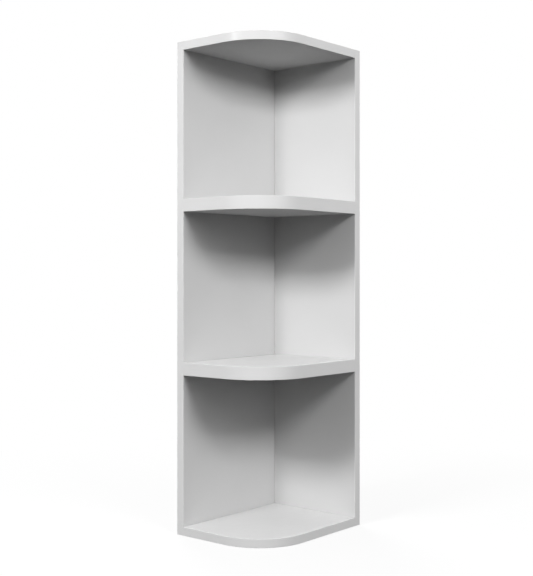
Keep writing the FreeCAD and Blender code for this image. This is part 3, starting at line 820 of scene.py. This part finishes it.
class CORNERSHELF_OT_boards(Operator):
    """Faces the two panels and the four shelves"""

    bl_idname = "corner_shelf.boards"
    bl_label = "Face the boards"

    def execute(self, context):
        for name, axis in BOARD_AXES.items():
            low, high = box_of(name)
            dress(
                [name],
                faced_board(
                    name + "_facing", context.scene.shelf_boards, axis, low[axis], high[axis]
                ),
            )
        return {"FINISHED"}


class CORNERSHELF_OT_shelf_edgings(Operator):
    """Bends a strip round the front corner of each shelf"""

    bl_idname = "corner_shelf.shelf_edgings"
    bl_label = "Bend the shelf edgings"

    def execute(self, context):
        for shelf in SHELVES:
            node = shelf + "_edging"
            strip = bent_strip(node, context.scene.shelf_edging)
            seat(strip, node, edging_finish())
        return {"FINISHED"}


class CORNERSHELF_OT_panel_edgings(Operator):
    """Lays straight strips on the cut edges of the two panels"""

    bl_idname = "corner_shelf.panel_edgings"
    bl_label = "Lay the panel edgings"

    def execute(self, context):
        for node, layout in STRAIGHT_STRIPS.items():
            strip = straight_strip(node, context.scene.shelf_edging, *layout)
            seat(strip, node, edging_finish())
        return {"FINISHED"}


class CORNERSHELF_OT_screws(Operator):
    """Threads the connecting screws, and plates them and the hanging plates' screws"""

    bl_idname = "corner_shelf.screws"
    bl_label = "Thread and plate the screws"

    def execute(self, context):
        settings = context.scene.shelf_hardware
        finish = zinc_plate(settings)
        for node, (heads, run) in screw_heads().items():
            shells = [threaded_screw(head, run, settings.thread_pitch) for head in heads]
            seat(join_shells(node + "_threaded", shells), node, finish)
        dress(["left_hanger_screws", "right_hanger_screws"], finish)
        return {"FINISHED"}


class CORNERSHELF_OT_dowels(Operator):
    """Gives the dowels their wood"""

    bl_idname = "corner_shelf.dowels"
    bl_label = "Turn the dowels"

    def execute(self, context):
        names = [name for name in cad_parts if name.endswith(("_dowel", "_dowels"))]
        dress(names, turned_beech(context.scene.shelf_hardware))
        return {"FINISHED"}


class CORNERSHELF_OT_hangers(Operator):
    """Gives the hanging plates their rolled steel"""

    bl_idname = "corner_shelf.hangers"
    bl_label = "Finish the hanging plates"

    def execute(self, context):
        names = [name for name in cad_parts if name.endswith("_hanger_plate")]
        dress(names, rolled_steel(context.scene.shelf_hardware))
        return {"FINISHED"}


def seen_or_mirrored(tree):
    """1 for rays from the camera, from gloss and through glass, and 0 for the rest."""
    path = add_node(tree, "ShaderNodeLightPath").outputs
    return math_node(
        tree,
        "MAXIMUM",
        path["Is Camera Ray"],
        math_node(tree, "MAXIMUM", path["Is Glossy Ray"], path["Is Transmission Ray"]),
    )


def lay_floor(settings):
    """A flat square grid under the unit, pale in itself and white to the camera, shadow kept.

    The white's share grows with the distance from the unit, so the shadow stays by its foot.
    """
    side = np.linspace(-FLOOR_REACH, FLOOR_REACH, FLOOR_LINES)
    across, away = np.meshgrid(side, side)
    level = np.full_like(across, -FLOOR_DROP)
    points = np.stack([across, away, level], axis=-1).reshape(-1, 3)
    square = np.arange(FLOOR_LINES - 1)
    start = (square[:, None] * FLOOR_LINES + square[None, :]).ravel()
    after = start + FLOOR_LINES
    faces = np.stack([start, start + 1, after + 1, after], axis=-1)
    mesh = bpy.data.meshes.new("floor")
    mesh.from_pydata(points, [], faces)
    mesh.update()
    floor = bpy.data.objects.new("floor", mesh)
    bpy.context.scene.collection.objects.link(floor)

    finish = bpy.data.materials.new("pale_floor")
    finish.use_nodes = True
    tree = finish.node_tree
    tree.nodes.clear()
    coords = add_node(tree, "ShaderNodeTexCoord").outputs["Object"]
    seen = seen_or_mirrored(tree)
    pale = shades(tree, noise(tree, coords, FLOOR_CLOUDS), settings.floor, FLOOR_TINTS)
    returned = (*tinted(settings.floor, settings.floor_return), 1.0)
    tone = blend_colours(tree, seen, returned, pale)
    matt = add_node(tree, "ShaderNodeBsdfDiffuse", {"Color": tone})
    white = add_node(tree, "ShaderNodeEmission", {"Color": WHITE, "Strength": 1.0})
    far = add_node(tree, "ShaderNodeVectorMath", {0: coords}, operation="LENGTH")
    share = spread(tree, far.outputs["Value"], WHITE_SHARE, WHITE_SPAN)
    mixed = add_node(
        tree,
        "ShaderNodeMixShader",
        {
            0: math_node(tree, "MULTIPLY", seen, share),
            1: matt.outputs["BSDF"],
            2: white.outputs["Emission"],
        },
    )
    add_node(tree, "ShaderNodeOutputMaterial", {"Surface": mixed.outputs["Shader"]})
    mesh.materials.append(finish)


def light_room(level):
    """An even world at that level, white where it is seen or mirrored."""
    world = bpy.data.worlds.new("room")
    world.use_nodes = True
    tree = world.node_tree
    tree.nodes.clear()
    even = add_node(tree, "ShaderNodeBackground", {"Color": WHITE, "Strength": level})
    seen = add_node(tree, "ShaderNodeBackground", {"Color": WHITE, "Strength": 1.0})
    mixed = add_node(
        tree,
        "ShaderNodeMixShader",
        {
            0: seen_or_mirrored(tree),
            1: even.outputs["Background"],
            2: seen.outputs["Background"],
        },
    )
    add_node(tree, "ShaderNodeOutputWorld", {"Surface": mixed.outputs["Shader"]})
    bpy.context.scene.world = world


def hang_lamp(name, level, azimuth, elevation, distance, width, height, held, mirrored):
    """A soft rectangular lamp aimed at the middle of the unit.

    Its light falls off with the distance, as that of a long bank of lamps does, and is held back
    nearby: it is divided by one plus the square of the held length over the distance. Its power
    is the level times pi squared times the distance, times the same divisor, which lights a
    facing card in the middle of the unit to that level.
    """
    turn, rise = math.radians(azimuth), math.radians(elevation)
    away = Vector(
        (math.sin(turn) * math.cos(rise), -math.cos(turn) * math.cos(rise), math.sin(rise))
    )
    data = bpy.data.lights.new(name, "AREA")
    data.shape = "RECTANGLE"
    data.size, data.size_y = width, height
    data.energy = level * math.pi**2 * distance * (1.0 + (held / distance) ** 2)
    data.use_nodes = True
    tree = data.node_tree
    tree.nodes.clear()
    bank = add_node(tree, "ShaderNodeLightFalloff", {"Strength": 1.0, "Smooth": held**2})
    glow = add_node(tree, "ShaderNodeEmission", {"Strength": bank.outputs["Linear"]})
    add_node(tree, "ShaderNodeOutputLight", {"Surface": glow.outputs["Emission"]})
    lamp = bpy.data.objects.new(name, data)
    lamp.location = Vector(LAMP_TARGET) + distance * away
    lamp.rotation_euler = away.to_track_quat("Z", "Y").to_euler()
    lamp.visible_glossy = mirrored
    bpy.context.scene.collection.objects.link(lamp)


def place_camera():
    """The camera that fits the photograph: level, with the horizon's row set by the shift."""
    data = bpy.data.cameras.new("camera")
    data.sensor_fit = "VERTICAL"
    data.sensor_height = SENSOR_HEIGHT
    data.lens = SENSOR_HEIGHT * FOCAL_PIXELS / IMAGE_HEIGHT
    data.shift_y = (HORIZON_ROW - IMAGE_HEIGHT / 2.0) / IMAGE_HEIGHT
    camera = bpy.data.objects.new("camera", data)
    camera.location = CAMERA_PLACE
    camera.rotation_euler = (math.radians(90.0), 0.0, math.radians(CAMERA_AZIMUTH))
    bpy.context.scene.collection.objects.link(camera)
    bpy.context.scene.camera = camera


class CORNERSHELF_OT_stage(Operator):
    """Lays the floor, lights the room and places the camera"""

    bl_idname = "corner_shelf.stage"
    bl_label = "Set the stage"

    def execute(self, context):
        settings = context.scene.shelf_stage
        lay_floor(settings)
        light_room(settings.room_level)
        levels = {
            "front_softbox": settings.front_level,
            "side_softbox": settings.side_level,
            "rear_softbox": settings.rear_level,
            "glint_lamp": settings.glint_level,
        }
        for name, layout in LAMPS.items():
            hang_lamp(name, levels[name], **layout)
        place_camera()
        context.scene.cycles.diffuse_bounces = LIGHT_BOUNCES
        context.scene.view_settings.view_transform = "Standard"
        return {"FINISHED"}


OPERATORS = (
    CORNERSHELF_OT_boards,
    CORNERSHELF_OT_shelf_edgings,
    CORNERSHELF_OT_panel_edgings,
    CORNERSHELF_OT_screws,
    CORNERSHELF_OT_dowels,
    CORNERSHELF_OT_hangers,
    CORNERSHELF_OT_stage,
)
SETTINGS = {
    "shelf_boards": BoardFinish,
    "shelf_edging": EdgingFinish,
    "shelf_hardware": HardwareFinish,
    "shelf_stage": StageSettings,
}


class CORNERSHELF_PT_panel(Panel):
    """Sizes and colours of the unit, and a button for each group of pieces"""

    bl_label = "Corner Shelf Unit"
    bl_idname = "CORNERSHELF_PT_panel"
    bl_space_type = "VIEW_3D"
    bl_region_type = "UI"
    bl_category = "Corner Shelf"

    def draw(self, context):
        for field, group in SETTINGS.items():
            column = self.layout.column(align=True)
            for name in group.__annotations__:
                column.prop(getattr(context.scene, field), name)
        for operator in OPERATORS:
            self.layout.operator(operator.bl_idname)


CLASSES = (*SETTINGS.values(), *OPERATORS, CORNERSHELF_PT_panel)


def register():
    """Registers the classes and hangs each settings group on the scene."""
    for entry in CLASSES:
        bpy.utils.register_class(entry)
    for field, group in SETTINGS.items():
        setattr(bpy.types.Scene, field, PointerProperty(type=group))


def unregister():
    """Takes the settings and the classes off again."""
    for field in SETTINGS:
        delattr(bpy.types.Scene, field)
    for entry in reversed(CLASSES):
        bpy.utils.unregister_class(entry)


def main():
    """Builds every group in order."""
    register()
    bpy.ops.corner_shelf.boards()
    bpy.ops.corner_shelf.shelf_edgings()
    bpy.ops.corner_shelf.panel_edgings()
    bpy.ops.corner_shelf.screws()
    bpy.ops.corner_shelf.dowels()
    bpy.ops.corner_shelf.hangers()
    bpy.ops.corner_shelf.stage()


if __name__ == "__main__":
    main()
